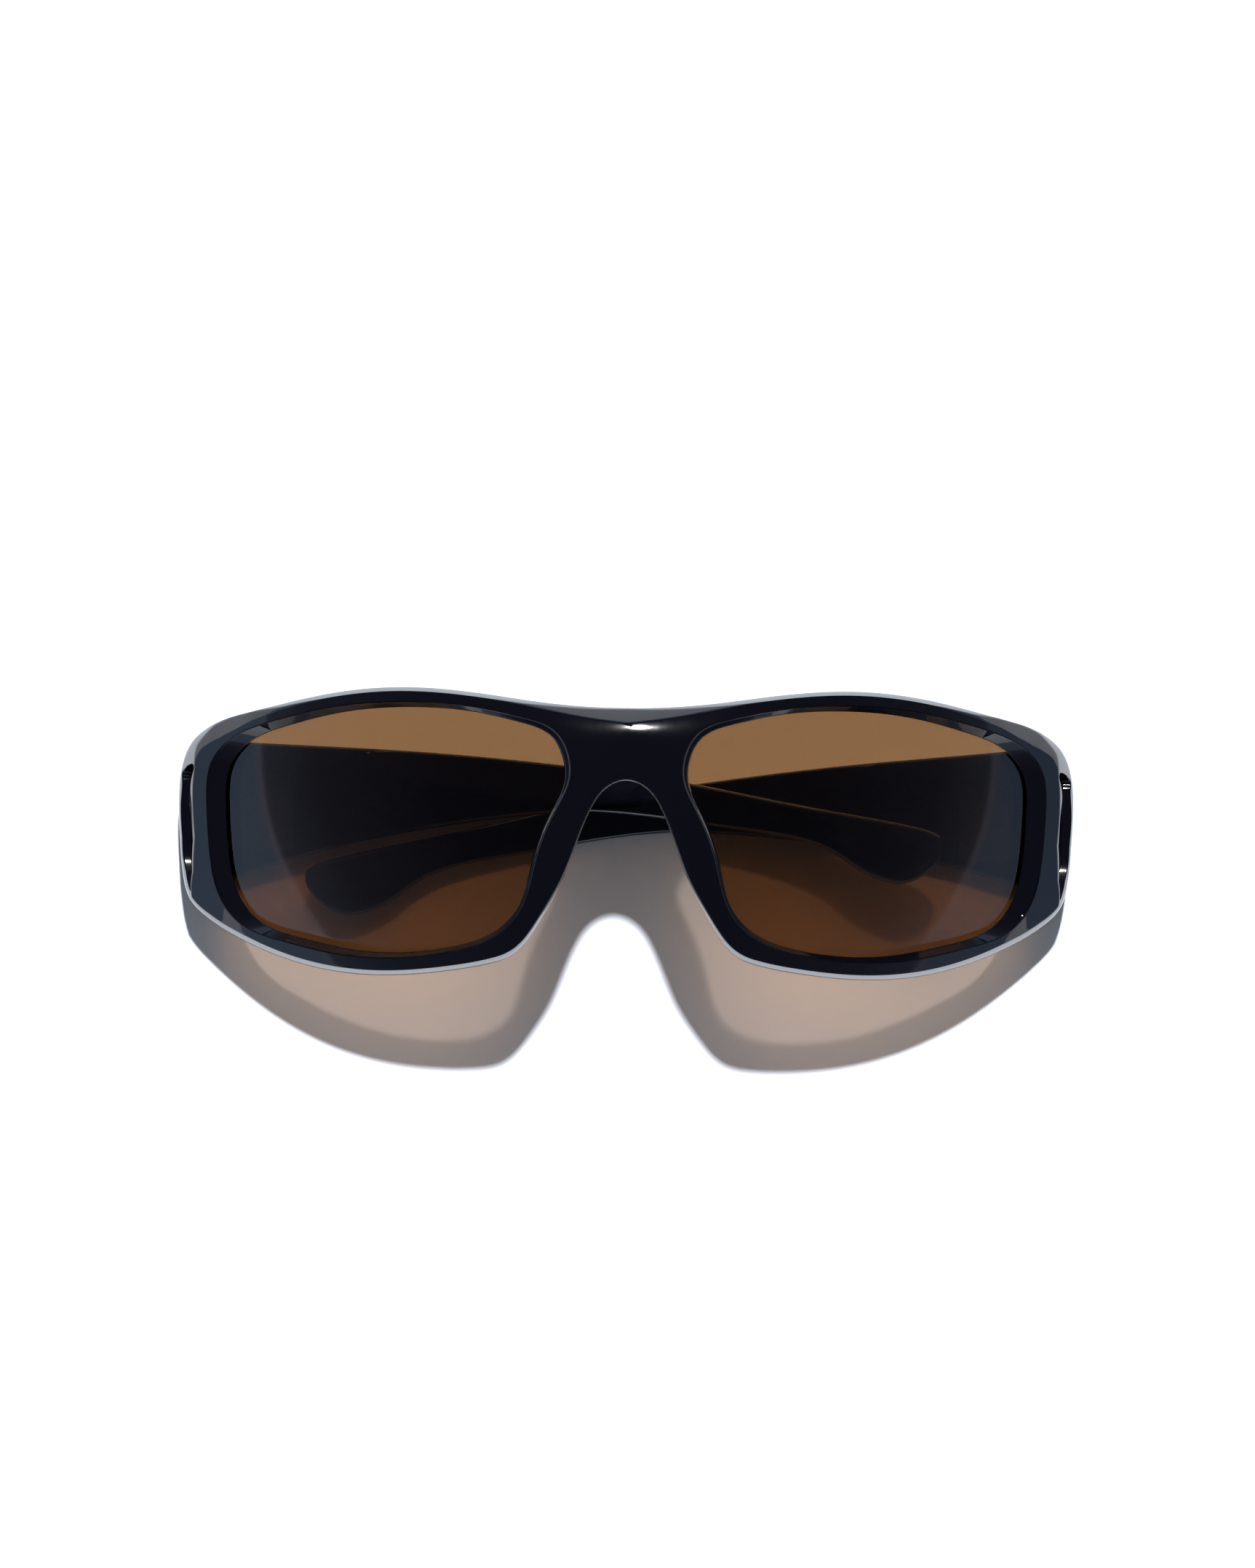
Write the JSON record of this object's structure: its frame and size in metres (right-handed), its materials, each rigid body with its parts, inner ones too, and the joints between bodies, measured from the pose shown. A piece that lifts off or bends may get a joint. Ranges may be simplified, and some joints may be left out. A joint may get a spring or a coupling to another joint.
{
  "type": "wrap-around sunglasses",
  "caption": "Glossy black wrap sunglasses with brown tinted lenses and wide temples that fold behind the front on barrel hinges; they lie on the folded temples.",
  "frame": {"origin": "on the surface that the folded glasses lie on, under the middle of the pair", "axes": "+X across the front towards the right-hand lens as seen from in front, +Y from the lower rims to the brow, +Z out of the lenses and up"},
  "size_m": [0.1406, 0.0452, 0.0462],
  "materials": {
    "frame": "polished black injection-moulded nylon",
    "lens": "brown tinted polycarbonate, polished",
    "hinge": "black-plated nickel silver",
    "screw": "bright steel",
    "washer": "natural nylon",
    "core": "plain wire strip"
  },
  "bodies": {
    "front": {"front_frame": "frame", "lens_left": "lens", "front_hinge_leaf_left": "hinge", "front_leaf_pins_left": "hinge", "hinge_screw_left": "screw", "hinge_washer_left": "washer", "lens_right": "lens", "front_hinge_leaf_right": "hinge", "front_leaf_pins_right": "hinge", "hinge_screw_right": "screw", "hinge_washer_right": "washer"},
    "left_temple": {"temple_left": "frame", "temple_hinge_leaf_left": "hinge", "temple_leaf_pins_left": "hinge", "temple_core_left": "core"},
    "right_temple": {"temple_right": "frame", "temple_hinge_leaf_right": "hinge", "temple_leaf_pins_right": "hinge", "temple_core_right": "core"}
  },
  "joints": [
    {"name": "left_hinge", "type": "hinge", "parent": "front", "child": "left_temple", "pos_m": [-0.064, 0.0025, 0.00617], "axis": [-0.0274, 0.9996, 0], "range_deg": [0, 95.3]},
    {"name": "right_hinge", "type": "hinge", "parent": "front", "child": "right_temple", "pos_m": [0.064, 0.0025, 0.00617], "axis": [0.0274, -0.9996, 0], "range_deg": [0, 89.24]}
  ]
}
